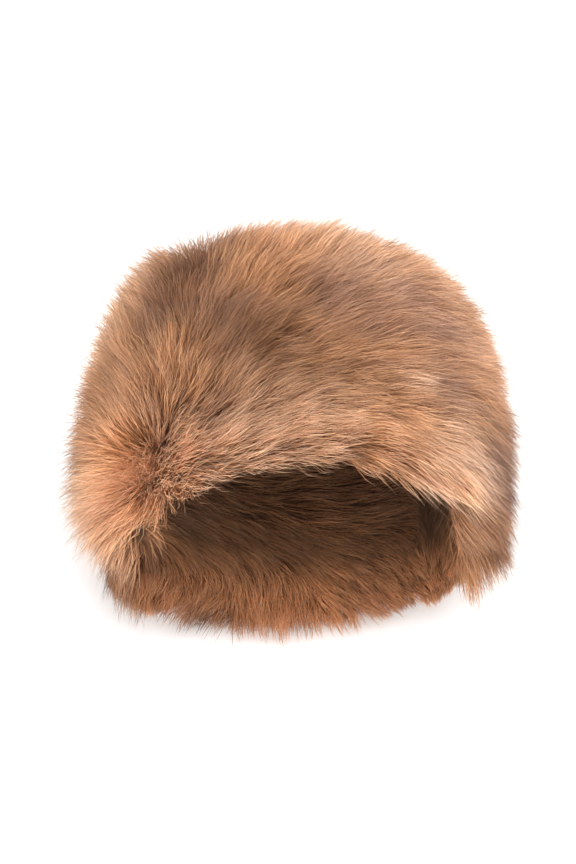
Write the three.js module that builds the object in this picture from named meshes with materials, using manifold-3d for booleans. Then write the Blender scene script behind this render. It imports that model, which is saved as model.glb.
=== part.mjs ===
// Fur hat of the kubanka kind: a round soft drum of long pile fabric, lying on the back of its band.
// The opening faces -Y, the closed crown end faces +Y, and the pressed pile rests on Z = 0.
import * as THREE from 'three';
import { mergeVertices } from 'three/addons/utils/BufferGeometryUtils.js';
import Module from 'manifold-3d';

const wasm = await Module();
wasm.setup();

// Named sizes in millimetres.
const tubeWidth = 204;
const tubeHeight = 167;
const tubeDepth = 146;
const skinLift = 5;
const backing = 3;
const liningBacking = 2.6;
const clearance = 0.35;
const crownDepth = 18;
const pressedPile = 12;
const crownLift = 2;
const pileHeight = 25;
const lockLength = 46;
const lockWidth = 27;
const lockThick = 11;
const lockRoot = 1.6;
const crestLength = 27;
const crestWidth = 30;
const crestThick = 17;
const crestHeight = 27;
const liningPile = 11;
const liningLockLength = 34;
const liningLockWidth = 23;
const liningLockThick = 7;
const creaseDepth = 12;
const creaseWidth = 16;
const furrowWidth = 15;
const combSoftness = 14;
const cutAhead = 60;
const napRadius = 120;
const around = 34;
const sliver = 0.15;
const liningSliver = 0.1;

// Sections of the drum from the rim to the crown's middle. Each column is a share of a named size:
// along of the depth, wide of half the width, top and floor of the height, left and right for the
// height at which that side bulges, and lean and shift of the width, to the right. The rim has sagged
// to the right, where it bulges low, and the crown end closes in a dome.
const sections = [
  { along: 0.00, wide: 0.985, top: 0.950, floor: 0.00, left: 0.52, right: 0.37, lean: 0.059, shift: 0.005 },
  { along: 0.20, wide: 1.010, top: 0.985, floor: 0.00, left: 0.52, right: 0.41, lean: 0.039, shift: 0.005 },
  { along: 0.45, wide: 0.995, top: 1.000, floor: 0.00, left: 0.53, right: 0.48, lean: 0.015, shift: 0.008 },
  { along: 0.70, wide: 0.945, top: 1.000, floor: 0.01, left: 0.56, right: 0.54, lean: 0.000, shift: 0.012 },
  { along: 0.86, wide: 0.865, top: 0.975, floor: 0.06, left: 0.58, right: 0.55, lean: 0.000, shift: 0.006 },
  { along: 0.95, wide: 0.735, top: 0.895, floor: 0.17, left: 0.58, right: 0.55, lean: 0.000, shift: 0.004 },
  { along: 0.99, wide: 0.460, top: 0.755, floor: 0.34, left: 0.56, right: 0.56, lean: 0.000, shift: 0.004 },
  { along: 1.00, wide: 0.000, top: 0.550, floor: 0.55, left: 0.55, right: 0.55, lean: 0.000, shift: 0.004 },
];

// Rounding of the sections: 2 is an ellipse, more is squarer. At the rim the upper wall comes down to
// the left corner in a flatter curve, and the lower wall leans the other way by a share of the lean.
const roundness = 2.2;
const cornerRoundness = 1.7;
const cornerReach = 0.45;
const lowerLean = -0.6;

// How the pile is combed. Each row is a place on the drum, with x a share of half the width, y of the
// depth and z of the height, and the way that the pile lies there. It spreads from a whorl at the
// upper left of the rim, runs right over the top and down the right side.
const combing = [
  { x: -1.00, y: 0.30, z: 0.62, dx: -0.3, dy: 0.3, dz: -0.7 },
  { x: -0.95, y: 0.03, z: 0.50, dx: -0.3, dy: -0.3, dz: -0.8 },
  { x: -0.90, y: 0.30, z: 0.20, dx: -0.5, dy: 0.1, dz: -1.0 },
  { x: -0.83, y: 0.50, z: 0.90, dx: -0.2, dy: 1.0, dz: 0.1 },
  { x: -0.72, y: 0.85, z: 0.88, dx: -0.6, dy: 0.8, dz: -0.2 },
  { x: -0.44, y: 0.28, z: 1.00, dx: 0.8, dy: 0.7, dz: 0.1 },
  { x: -0.35, y: 0.75, z: 1.00, dx: 0.7, dy: 0.7, dz: 0.0 },
  { x: -0.50, y: 0.02, z: 0.90, dx: 0.9, dy: -0.1, dz: 0.2 },
  { x: 0.00, y: 0.08, z: 1.00, dx: 1.0, dy: -0.1, dz: 0.0 },
  { x: 0.10, y: 0.50, z: 1.03, dx: 1.0, dy: 0.1, dz: 0.0 },
  { x: 0.10, y: 0.92, z: 0.96, dx: 0.8, dy: 0.5, dz: -0.4 },
  { x: 0.60, y: 0.08, z: 0.92, dx: 1.0, dy: -0.5, dz: -0.3 },
  { x: 0.83, y: 0.50, z: 0.84, dx: 0.7, dy: -0.1, dz: -0.8 },
  { x: 1.02, y: 0.06, z: 0.54, dx: 0.3, dy: -0.6, dz: -0.8 },
  { x: 1.03, y: 0.50, z: 0.48, dx: 0.3, dy: -0.1, dz: -1.0 },
  { x: 0.93, y: 0.86, z: 0.48, dx: 0.3, dy: 0.3, dz: -1.0 },
  { x: -0.60, y: 0.00, z: 0.08, dx: -0.7, dy: -0.9, dz: -0.2 },
  { x: 0.00, y: 0.00, z: 0.02, dx: 0.1, dy: -1.0, dz: 0.0 },
  { x: 0.60, y: 0.00, z: 0.08, dx: 0.7, dy: -0.9, dz: -0.2 },
  { x: -0.70, y: 0.60, z: 0.06, dx: -1.0, dy: 0.3, dz: -0.3 },
  { x: 0.70, y: 0.60, z: 0.06, dx: 0.8, dy: 0.2, dz: -0.4 },
  { x: 0.00, y: 1.00, z: 0.55, dx: 0.2, dy: 0.1, dz: -1.0 },
  { x: -0.60, y: 0.97, z: 0.55, dx: -0.6, dy: 0.2, dz: -0.8 },
  { x: 0.60, y: 0.97, z: 0.55, dx: 0.6, dy: 0.2, dz: -0.8 },
];

// The pile inside: aslant at the top, along X below, and out over the edge at the lower rim.
const combingInside = [
  { x: -0.40, y: 0.10, z: 0.95, dx: 0.8, dy: 0.6, dz: 0.0 },
  { x: 0.50, y: 0.10, z: 0.90, dx: 0.8, dy: 0.6, dz: -0.3 },
  { x: 0.95, y: 0.06, z: 0.60, dx: 0.0, dy: 0.9, dz: -0.6 },
  { x: -0.95, y: 0.06, z: 0.60, dx: 0.3, dy: 0.9, dz: 0.5 },
  { x: 1.00, y: 0.10, z: 0.30, dx: 0.2, dy: 0.9, dz: -0.2 },
  { x: 0.75, y: -0.02, z: 0.10, dx: 0.7, dy: -0.6, dz: 0.0 },
  { x: -0.80, y: -0.02, z: 0.18, dx: -0.8, dy: -0.5, dz: 0.0 },
  { x: -0.80, y: 0.25, z: 0.22, dx: -0.9, dy: 0.1, dz: 0.3 },
  { x: -0.50, y: 0.30, z: 0.04, dx: -1.0, dy: -0.3, dz: 0.0 },
  { x: 0.60, y: 0.40, z: 0.05, dx: 0.9, dy: -0.1, dz: 0.0 },
  { x: -0.20, y: 0.28, z: 0.02, dx: 0.1, dy: -1.0, dz: 0.0 },
  { x: 0.40, y: 0.14, z: 0.03, dx: 0.7, dy: -0.8, dz: 0.0 },
  { x: 0.00, y: -0.02, z: 0.02, dx: 0.0, dy: -1.0, dz: 0.0 },
  { x: 0.00, y: 0.95, z: 0.50, dx: 1.0, dy: 0.0, dz: -0.2 },
];

// The dark parting in the pile at the upper left, as shares of half the width, depth and height.
const furrow = [
  { x: -0.56, y: 0.88, z: 0.90 },
  { x: -0.60, y: 0.72, z: 0.91 },
  { x: -0.62, y: 0.54, z: 0.92 },
];

// Rows of the band's locks from the rim inward: at is the place along the sections, count the locks
// round it.
const bandRows = [
  { at: 0.035, count: 23 },
  { at: 0.135, count: 23 },
  { at: 0.230, count: 23 },
  { at: 0.320, count: 23 },
  { at: 0.410, count: 21 },
  { at: 0.500, count: 18 },
];
// Standing locks that fill the parting behind the whorl: at is the place along the sections, round the
// place round them in degrees, from 0 at the right to 90 at the top.
const crest = [
  { at: 0.06, round: 151 },
  { at: 0.15, round: 143 },
  { at: 0.23, round: 136 },
  { at: 0.31, round: 140 },
  { at: 0.41, round: 140 },
  { at: 0.50, round: 136 },
];

// Rows of the crown's locks and the lining's, as the band's.
const crownRows = [
  { at: 0.630, count: 16 },
  { at: 0.750, count: 12 },
  { at: 0.860, count: 7 },
  { at: 0.985, count: 2 },
];
const liningRows = [
  { at: 0.030, count: 18 },
  { at: 0.130, count: 17 },
  { at: 0.230, count: 15 },
];

const clamp01 = (v) => Math.min(1, Math.max(0, v));
const smooth = (a, b, v) => {
  const t = clamp01((v - a) / (b - a));
  return t * t * (3 - 2 * t);
};
const spread = (n) => {
  const v = Math.sin(n * 12.9898 + 4.1) * 43758.5453;
  return (v - Math.floor(v)) * 2 - 1;
};

// One column of the sections at s, 0 at the rim and 1 at the crown's middle, on a smooth curve.
function column(name, s) {
  const last = sections.length - 1;
  const at = clamp01(s) * last;
  const i = Math.min(last - 1, Math.floor(at));
  const t = at - i;
  const slope = (k) => {
    const a = Math.max(0, k - 1);
    const b = Math.min(last, k + 1);
    return (sections[b][name] - sections[a][name]) / (b - a);
  };
  const t2 = t * t;
  const t3 = t2 * t;
  return (2 * t3 - 3 * t2 + 1) * sections[i][name] + (t3 - 2 * t2 + t) * slope(i)
    + (3 * t2 - 2 * t3) * sections[i + 1][name] + (t3 - t2) * slope(i + 1);
}

// A point of the fabric's outer face. It runs straight on in front of the rim, where s is below 0.
function skinPoint(s, angle) {
  const c = Math.cos(angle);
  const d = Math.sin(angle);
  const up = d >= 0;
  const flatter = up && c < 0 ? 1 - smooth(0, cornerReach, s) : 0;
  const power = roundness + (cornerRoundness - roundness) * flatter;
  const r = (Math.abs(c) ** power + Math.abs(d) ** power) ** (-1 / power);
  const belly = Math.max(column(c < 0 ? 'left' : 'right', s), column('floor', s));
  const reach = up ? column('top', s) - belly : belly - column('floor', s);
  const ahead = Math.min(0, s);
  return new THREE.Vector3(
    tubeWidth * (column('shift', s) + 0.5 * column('wide', s) * c * r
      + column('lean', s) * (up ? 1 : lowerLean) * (d * r) ** 2),
    tubeDepth * (column('along', s) + ahead),
    skinLift + tubeHeight * (belly + reach * d * r),
  );
}

function skinNormal(s, angle) {
  const e = 0.004;
  const along = skinPoint(Math.min(s + e, 0.995), angle).sub(skinPoint(Math.min(s, 0.995) - e, angle));
  const round = skinPoint(Math.min(s, 0.995), angle + e).sub(skinPoint(Math.min(s, 0.995), angle - e));
  const n = along.cross(round).normalize();
  return s > 0.995 ? new THREE.Vector3(0, 1, 0) : n;
}

// The crease in the left wall, deepest at the rim, where the upper wall sinks over the lower one.
function crease(s, angle) {
  const turn = (angle + 2 * Math.PI) % (2 * Math.PI);
  const away = (turn - 1.03 * Math.PI) * 0.5 * tubeWidth;
  return creaseDepth * Math.exp(-((away / creaseWidth) ** 2)) * (1 - smooth(0, 0.34, s));
}

// A point at a height over the fabric's outer face, or under it where the height is below 0.
function over(s, angle, height) {
  const n = skinNormal(s, angle);
  if (s <= 0) n.setY(0).normalize();
  return skinPoint(s, angle).addScaledVector(n, height - crease(s, angle));
}

// A closed body from an indexed geometry, with points that lie within the tolerance made one.
function solidFrom(geometry, tolerance) {
  const merged = mergeVertices(geometry, tolerance);
  return new wasm.Manifold(new wasm.Mesh({
    numProp: 3,
    vertProperties: new Float32Array(merged.attributes.position.array),
    triVerts: new Uint32Array(merged.index.array),
  }));
}

function shape(points, faces) {
  const g = new THREE.BufferGeometry();
  g.setAttribute('position', new THREE.Float32BufferAttribute(points, 3));
  g.setIndex(faces);
  return g;
}

// A closed body through rings of equal count, from a middle point at each end.
function lofted(rings, first, last) {
  const n = rings[0].length;
  const points = [first, ...rings.flat(), last];
  const faces = [];
  const end = points.length - 1;
  for (let j = 0; j < n; j += 1) {
    const k = (j + 1) % n;
    faces.push(0, 1 + j, 1 + k);
    for (let i = 0; i + 1 < rings.length; i += 1) {
      const a = 1 + i * n + j;
      const b = 1 + i * n + k;
      faces.push(a, a + n, b, b, a + n, b + n);
    }
    const base = 1 + (rings.length - 1) * n;
    faces.push(base + j, end, base + k);
  }
  return solidFrom(shape(points.flatMap((p) => [p.x, p.y, p.z]), faces), 1e-4);
}

// The drum's form at a height over the skin. A long one runs on in front of the rim, to cut with.
function drum(heightAt, ahead) {
  const steps = [0, 0.1, 0.22, 0.35, 0.47, 0.56, 0.65, 0.76, 0.88];
  const stations = ahead > 0 ? [-ahead / tubeDepth, ...steps] : steps;
  const rings = stations.map((s) => Array.from({ length: around }, (_, j) => {
    const angle = (2 * Math.PI * j) / around;
    return over(s, angle, heightAt(s, angle));
  }));
  const front = rings[0].reduce((sum, p) => sum.add(p), new THREE.Vector3()).divideScalar(around);
  return lofted(rings, front, over(1, 0, heightAt(1, 0)));
}

const box = (x0, x1, y0, y1, z0, z1) => {
  const g = new THREE.BoxGeometry(x1 - x0, y1 - y0, z1 - z0).deleteAttribute('normal').deleteAttribute('uv');
  return solidFrom(g.translate((x0 + x1) / 2, (y0 + y1) / 2, (z0 + z1) / 2), 1e-4);
};

// The way that the pile lies at a point, along the face with this normal.
function napAt(table, point, normal) {
  const sum = new THREE.Vector3();
  for (const row of table) {
    const place = new THREE.Vector3(
      0.5 * tubeWidth * row.x,
      tubeDepth * row.y,
      skinLift + tubeHeight * row.z,
    );
    const weight = 1 / (place.distanceToSquared(point) + combSoftness ** 2) ** 1.6;
    sum.addScaledVector(new THREE.Vector3(row.dx, row.dy, row.dz).normalize(), weight);
  }
  return sum.projectOnPlane(normal).normalize();
}

function furrowAt(point) {
  let nearest = Infinity;
  for (let i = 0; i + 1 < furrow.length; i += 1) {
    const ends = [furrow[i], furrow[i + 1]].map((f) => new THREE.Vector3(
      0.5 * tubeWidth * f.x,
      tubeDepth * f.y,
      skinLift + tubeHeight * f.z,
    ));
    const near = new THREE.Line3(...ends).closestPointToPoint(point, true, new THREE.Vector3());
    nearest = Math.min(nearest, near.distanceTo(point));
  }
  return Math.exp(-((nearest / furrowWidth) ** 2));
}

// A lock of pile: three sided, rooted in the backing, broadest in its middle and drawn to a tip.
function lock(root, normal, nap, shape) {
  const side = nap.clone().cross(normal).normalize();
  const stations = [
    { u: 0.00, wide: 0.66, thick: 0.55 },
    { u: 0.34, wide: 1.00, thick: 1.00 },
    { u: 0.72, wide: 0.70, thick: 0.74 },
  ];
  const middle = (u) => root.clone()
    .addScaledVector(nap, shape.length * (u - 0.18) + 0.04 * shape.length * u * shape.turn)
    .addScaledVector(side, shape.turn * shape.width * 0.35 * u * u)
    .addScaledVector(normal, shape.height * u ** 0.85 - lockRoot
      - (shape.length * Math.max(0, u - 0.18)) ** 2 / (2 * napRadius));
  const rings = stations.map((st) => {
    const c = middle(st.u);
    const w = 0.5 * shape.width * st.wide;
    const t = shape.thick * st.thick;
    return [
      c.clone().addScaledVector(side, w).addScaledVector(normal, -0.35 * t),
      c.clone().addScaledVector(side, 0.12 * w).addScaledVector(normal, 0.65 * t),
      c.clone().addScaledVector(side, -w).addScaledVector(normal, -0.35 * t),
    ];
  });
  const start = rings[0].reduce((sum, p) => sum.add(p), new THREE.Vector3()).divideScalar(3);
  return lofted(rings, start, middle(1));
}

// The locks of several rows, staggered from row to row and each a little off its place.
function locksOn(rows, table, inward, shape, seed, skip) {
  const list = [];
  rows.forEach((row, r) => {
    for (let j = 0; j < row.count; j += 1) {
      const n = seed + r * 61 + j;
      const s = row.at + 0.016 * spread(n);
      const angle = (2 * Math.PI * (j + 0.5 * (r % 2) + 0.22 * spread(n + 7))) / row.count;
      const normal = skinNormal(s, angle);
      const root = over(s, angle, inward ? -(backing + clearance + liningBacking) : 0);
      if (skip(s, normal, root)) continue;
      const dip = inward ? 0 : furrowAt(root);
      const under = Math.max(0, -normal.z) ** 0.8;
      const height = shape.height * (1 - (inward ? 0 : 0.62) * under) * (1 - 0.5 * dip);
      const face = inward ? normal.clone().negate() : normal;
      list.push(lock(root, face, napAt(table, root, face), {
        length: shape.length * (1 + 0.12 * spread(n + 3)),
        width: shape.width * (1 + 0.15 * spread(n + 5)),
        thick: shape.thick * (1 - 0.3 * dip),
        height: height * (1 + 0.12 * spread(n + 11)),
        turn: spread(n + 13),
      }));
    }
  });
  return list;
}

// The locks of the crest, which stand up and lean a little towards the crown.
function standingLocks() {
  return crest.map((row, i) => {
    const angle = THREE.MathUtils.degToRad(row.round);
    const normal = skinNormal(row.at, angle);
    const nap = new THREE.Vector3(0, 1, 0).projectOnPlane(normal).normalize();
    return lock(over(row.at, angle, 0), normal, nap, {
      length: crestLength,
      width: crestWidth,
      thick: crestThick,
      height: crestHeight,
      turn: spread(i),
    });
  });
}

const pressed = (s, angle) => pressedPile * smooth(0.55, 0.95, -skinNormal(s, angle).z);
const outerShell = drum(pressed, 0);
const hollow = drum(() => -backing, cutAhead);
const liningForm = drum(() => -(backing + clearance), cutAhead);
const liningHollow = drum(() => -(backing + clearance + liningBacking), cutAhead);

const far = 400;
const crownSeam = tubeDepth - crownDepth;
const overFloor = box(-far, far, -far, far, 0, far);
const liningSpan = box(-far, far, 0, far, 0, far);
const bandSpan = box(-far, far, -far, crownSeam - clearance / 2, 0, far);
const crownSpan = box(-far, far, crownSeam + clearance / 2, far, crownLift, far);

const outerLock = { length: lockLength, width: lockWidth, thick: lockThick, height: pileHeight };
const innerLock = {
  length: liningLockLength,
  width: liningLockWidth,
  thick: liningLockThick,
  height: liningPile,
};
const underneath = (s, normal) => s > 0.09 && normal.z < -0.9;

const fuse = (base, parts) => parts.reduce((sum, p) => sum.add(p), base);
const bandLocks = locksOn(bandRows, combing, false, outerLock, 100, underneath)
  .concat(standingLocks());
const crownLocks = locksOn(crownRows, combing, false, outerLock, 900, () => false);
const liningLocks = locksOn(liningRows, combingInside, true, innerLock, 1700, () => false);

const bandSolid = fuse(outerShell, bandLocks).subtract(hollow).intersect(bandSpan);
const crownSolid = fuse(outerShell, crownLocks).subtract(hollow).intersect(crownSpan);
const liningSolid = fuse(liningForm.subtract(liningHollow).intersect(liningSpan), liningLocks)
  .intersect(liningForm)
  .intersect(overFloor);

// The largest body of a solid as a plain mesh, without the crumbs, slivers and closed pockets that
// the locks and cuts have left.
function mainBody(solid, finest) {
  let body = solid;
  for (const tolerance of [1e-3, 2e-3]) {
    const pieces = body.decompose();
    const m = pieces.reduce((a, b) => (b.volume() > a.volume() ? b : a)).simplify(finest).getMesh();
    body = solidFrom(shape(Array.from(m.vertProperties), Array.from(m.triVerts)), tolerance);
  }
  const m = body.decompose().reduce((a, b) => (b.volume() > a.volume() ? b : a)).getMesh();
  return shape(Array.from(m.vertProperties), Array.from(m.triVerts));
}

function toMesh(geometry, name, color, roughness) {
  geometry.computeVertexNormals();
  const mesh = new THREE.Mesh(geometry, new THREE.MeshStandardMaterial({ color, roughness, metalness: 0 }));
  mesh.name = name;
  return mesh;
}

const solids = [
  { name: 'side_band', solid: mainBody(bandSolid, sliver), color: 0xb98a5c, roughness: 0.85 },
  { name: 'crown_panel', solid: mainBody(crownSolid, sliver), color: 0xa97f58, roughness: 0.85 },
  { name: 'fur_lining', solid: mainBody(liningSolid, liningSliver), color: 0x5a4030, roughness: 0.9 },
];

const group = new THREE.Group();
group.name = 'kubanka_hat';
for (const part of solids) group.add(toMesh(part.solid, part.name, part.color, part.roughness));

// The origin is under the middle of the hat's bounding box, on the surface that it lies on.
const bounds = new THREE.Box3().setFromObject(group);
const middle = bounds.getCenter(new THREE.Vector3());
for (const mesh of group.children) mesh.geometry.translate(-middle.x, -middle.y, -bounds.min.z);

export default group;
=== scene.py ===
# %% [markdown]
# # A shaggy fur hat, lying on the back of its band
# The hat is a soft drum of pile fabric: a band round the head, a domed panel over its far end, and a
# fur lining turned in at the rim. It lies on its side, so its opening faces the viewer. This lesson
# works out the drum's skin, grows the pile on it strand by strand, and lights it like the photograph.
# Blender's hair particles would be quicker to set up, but their hairs are no mesh that can be
# exported, and they are combed by hand. Hairs worked out in code can be read, changed and exported.

# %% Open the frame
import bpy
import math
import numpy as np
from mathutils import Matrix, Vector
from mathutils.kdtree import KDTree


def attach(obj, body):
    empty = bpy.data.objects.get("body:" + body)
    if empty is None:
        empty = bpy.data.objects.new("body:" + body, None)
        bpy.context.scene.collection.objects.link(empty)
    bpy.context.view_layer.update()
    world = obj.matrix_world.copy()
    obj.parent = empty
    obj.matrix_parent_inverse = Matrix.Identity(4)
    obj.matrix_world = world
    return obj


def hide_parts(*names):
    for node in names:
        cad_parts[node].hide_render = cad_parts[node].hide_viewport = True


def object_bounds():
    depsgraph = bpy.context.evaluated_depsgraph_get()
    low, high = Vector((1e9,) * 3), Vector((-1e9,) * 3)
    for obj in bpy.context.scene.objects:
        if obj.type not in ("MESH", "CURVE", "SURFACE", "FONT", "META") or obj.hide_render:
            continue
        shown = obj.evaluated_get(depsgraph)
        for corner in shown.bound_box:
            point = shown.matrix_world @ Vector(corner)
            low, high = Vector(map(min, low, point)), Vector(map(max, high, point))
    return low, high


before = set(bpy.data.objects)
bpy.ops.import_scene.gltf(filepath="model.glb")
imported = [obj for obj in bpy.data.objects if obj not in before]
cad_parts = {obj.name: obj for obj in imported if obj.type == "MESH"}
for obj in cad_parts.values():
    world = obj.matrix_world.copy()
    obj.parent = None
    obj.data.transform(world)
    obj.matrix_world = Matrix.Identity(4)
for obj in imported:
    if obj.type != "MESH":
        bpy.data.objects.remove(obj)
cad_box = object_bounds()
print("solids", list(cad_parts), "in a box", cad_box)

# %% [markdown]
# ## The drum's form
# Under its pile the hat is a tube of fabric that sags: the floor flattens it, its left wall has a
# shallow crease, and its far end is domed. It could be sculpted, or blown up as cloth. Here a few
# sections give its width, top and floor at places from the rim to the crown's middle, and a smooth
# curve runs through them. That way was chosen because hairs need the skin's place and normal
# everywhere, not only at a mesh's points. Lengths are millimetres, and become metres in a mesh.

# %% The drum's sizes and sections
MM = 0.001
WIDTH, HEIGHT, DEPTH, LIFT = 204.0, 167.0, 146.0, 5.0
SHIFT = np.array([0.45, -68.09, 0.0])
# columns: along, wide, top, floor, left belly, right belly, lean, shift
SECTIONS = np.array([
    (0.00, 0.985, 0.950, 0.00, 0.52, 0.37, 0.059, 0.005),
    (0.20, 1.010, 0.985, 0.00, 0.52, 0.41, 0.039, 0.005),
    (0.45, 0.995, 1.000, 0.00, 0.53, 0.48, 0.015, 0.008),
    (0.70, 0.945, 1.000, 0.01, 0.56, 0.54, 0.000, 0.012),
    (0.86, 0.865, 0.975, 0.06, 0.58, 0.55, 0.000, 0.006),
    (0.95, 0.735, 0.895, 0.17, 0.58, 0.55, 0.000, 0.004),
    (0.99, 0.460, 0.755, 0.34, 0.56, 0.56, 0.000, 0.004),
    (1.00, 0.000, 0.550, 0.55, 0.55, 0.55, 0.000, 0.004)])
SLOPES = np.gradient(SECTIONS, axis=0)


def column(k, s):
    """One column of the sections at s, 0 at the rim and 1 at the crown's middle."""
    last = len(SECTIONS) - 1
    at = np.clip(s, 0, 1) * last
    i = np.minimum(last - 1, at.astype(int))
    t = at - i
    return ((2 * t**3 - 3 * t**2 + 1) * SECTIONS[i, k] + (t**3 - 2 * t**2 + t) * SLOPES[i, k]
            + (3 * t**2 - 2 * t**3) * SECTIONS[i + 1, k] + (t**3 - t**2) * SLOPES[i + 1, k])


print("half way along, the drum is", (WIDTH * column(1, np.array([0.5]))).round(1), "mm wide")

# %% The skin
# how square a section is, where 2 is an oval; its upper left is leaner near the rim
ROUND, LEAN_ROUND, LEAN_END = 2.2, 1.7, 0.45
# below its widest place a section leans the other way
LOWER_LEAN = -0.6


def fade(s, end):
    """1 at the rim, falling smoothly to 0 at s = end."""
    back = np.clip(s / end, 0, 1)
    return 1 - back**2 * (3 - 2 * back)


def skin_point(s, angle):
    """Points of the fabric's outer face. In front of the rim, where s is below 0, it runs straight."""
    s, angle = np.broadcast_arrays(np.asarray(s, float), np.asarray(angle, float))
    along, wide, top, floor, left, right, lean, shift = (column(k, s) for k in range(8))
    c, d = np.cos(angle), np.sin(angle)
    up = d >= 0
    power = ROUND - (ROUND - LEAN_ROUND) * (up & (c < 0)) * fade(s, LEAN_END)
    r = (np.abs(c)**power + np.abs(d)**power)**(-1 / power)
    belly = np.maximum(np.where(c < 0, left, right), floor)
    reach = np.where(up, top - belly, belly - floor)
    return np.stack([
        WIDTH * (shift + 0.5 * wide * c * r + lean * np.where(up, 1, LOWER_LEAN) * (d * r)**2),
        DEPTH * (along + np.minimum(0, s)),
        LIFT + HEIGHT * (belly + reach * d * r)], -1) + SHIFT


# %% Normals and the crease
CREASE, CREASE_TURN, CREASE_SPREAD, CREASE_END = 12.0, 1.03 * np.pi, 0.16, 0.34
LAST_S, NUDGE = 0.99, 0.004


def skin(s, angle):
    """Points and outward normals of the skin, with the crease in the left wall sunk in."""
    s, angle = np.broadcast_arrays(np.asarray(s, float), np.asarray(angle, float))
    p = skin_point(s, angle)
    inner = np.minimum(s, LAST_S)
    along = skin_point(inner + NUDGE, angle) - skin_point(inner - NUDGE, angle)
    turn = skin_point(inner, angle + NUDGE) - skin_point(inner, angle - NUDGE)
    n = np.cross(along, turn)
    n[s <= 0, 1] = 0
    n /= np.linalg.norm(n, axis=-1, keepdims=True)
    from_crease = (angle % (2 * np.pi) - CREASE_TURN) / CREASE_SPREAD
    sink = CREASE * np.exp(-from_crease**2) * fade(s, CREASE_END)
    return p - n * sink[..., None], n


print("rim's width", np.ptp(skin(0.0, np.linspace(0, 2 * np.pi, 200))[0][:, 0]).round(1), "mm")

# %% [markdown]
# ## How the pile is combed
# Pile fabric has a nap: the hairs lie one way. On this hat they spread from a whorl at the upper left
# of the rim, run right over the top and fall down the right side. They could be combed with a brush
# in the viewport, but nobody could read that work later. A short table of places and directions says
# the same, and every hair between the places follows the nearest ones.

# %% The nap outside
# columns: x in half widths, y in depths, z in heights, then the direction
COMB_OUTSIDE = np.array([
    (-1.00, 0.30, 0.62, -0.3, 0.3, -0.7), (-0.95, 0.03, 0.50, -0.3, -0.3, -0.8),
    (-0.90, 0.30, 0.20, -0.5, 0.1, -1.0), (-0.83, 0.50, 0.90, -0.2, 1.0, 0.1),
    (-0.72, 0.85, 0.88, -0.6, 0.8, -0.2), (-0.44, 0.28, 1.00, 0.8, 0.7, 0.1),
    (-0.35, 0.75, 1.00, 0.7, 0.7, 0.0), (-0.50, 0.02, 0.90, 0.9, -0.25, 0.1),
    (0.00, 0.08, 1.00, 1.0, 0.03, 0.08), (0.10, 0.50, 1.03, 1.0, 0.1, 0.0),
    (0.10, 0.92, 0.96, 0.8, 0.5, -0.4), (0.60, 0.08, 0.92, 1.0, -0.45, -0.3),
    (0.83, 0.50, 0.84, 0.7, -0.1, -0.8), (1.02, 0.06, 0.54, 0.1, -0.6, -0.8),
    (1.03, 0.50, 0.48, 0.3, -0.1, -1.0), (0.93, 0.86, 0.48, 0.3, 0.3, -1.0),
    (-0.60, 0.00, 0.08, -0.7, -0.9, -0.2), (0.00, 0.00, 0.02, 0.1, -1.0, 0.0),
    (0.60, 0.00, 0.08, 0.7, -0.9, -0.2), (-0.70, 0.60, 0.06, -1.0, 0.3, -0.3),
    (0.70, 0.60, 0.06, 0.8, 0.2, -0.4), (0.00, 1.00, 0.55, 0.2, 0.1, -1.0),
    (-0.60, 0.97, 0.55, -0.6, 0.2, -0.8), (0.60, 0.97, 0.55, 0.6, 0.2, -0.8),
    (-0.80, 0.00, 0.76, 0.7, -0.7, -0.2), (-1.08, 0.12, 0.64, -0.7, -0.1, -0.2),
    (-0.95, 0.22, 0.80, -0.3, 0.8, 0.5), (-1.02, -0.02, 0.55, -0.2, -0.6, -0.8),
    (-0.88, -0.02, 0.30, -0.2, -0.9, -0.3), (-1.00, 0.06, 0.32, -0.8, -0.3, -0.5),
    (1.00, -0.02, 0.30, 0.2, -0.8, -0.6)])
print("places for the outer nap", len(COMB_OUTSIDE))

# %% The nap inside
# the columns are those of the nap outside
COMB_INSIDE = np.array([
    (-0.40, 0.10, 0.95, 0.8, 0.6, 0.0), (0.50, 0.10, 0.90, 0.8, 0.6, -0.3),
    (0.95, 0.06, 0.60, 0.1, -0.2, -1.0), (-0.95, 0.06, 0.60, 0.3, 0.9, -0.3),
    (1.00, 0.10, 0.30, 0.4, -0.7, -0.5), (0.95, 0.40, 0.30, 0.0, -0.4, -0.8),
    (0.75, -0.02, 0.10, 0.7, -0.6, 0.0), (-0.85, -0.02, 0.25, -0.8, -0.5, -0.2),
    (-0.88, 0.25, 0.30, 0.4, 0.5, -0.8), (-0.60, 0.25, 0.08, 0.7, -0.5, -0.2),
    (0.60, 0.40, 0.05, 0.9, -0.1, 0.0), (-0.10, 0.25, 0.02, 0.8, -0.7, 0.0),
    (0.40, 0.14, 0.03, 0.7, -0.8, 0.0), (-0.20, 0.10, 0.02, 0.1, -1.0, 0.0),
    (-0.50, -0.02, 0.06, -0.7, -0.9, 0.0), (0.00, -0.02, 0.02, 0.0, -1.0, 0.0),
    (0.50, -0.02, 0.06, 0.7, -0.9, 0.0), (0.00, 0.95, 0.50, 1.0, 0.0, -0.2),
    (-0.50, 0.65, 0.06, 1.0, 0.0, 0.0), (0.00, 0.55, 0.03, 1.0, 0.0, 0.0),
    (0.50, 0.70, 0.08, 1.0, 0.0, 0.2), (-0.60, 0.85, 0.45, 1.0, 0.0, 0.0),
    (0.60, 0.85, 0.45, 1.0, 0.0, -0.2), (-0.55, 0.45, 0.04, 1.0, -0.1, 0.0)])
print("places for the inner nap", len(COMB_INSIDE))

# %% The nap at any place
# a place's pull falls off with distance, softened within BLEND millimetres
BLEND, FALL_OFF = 14.0, 1.6
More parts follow.
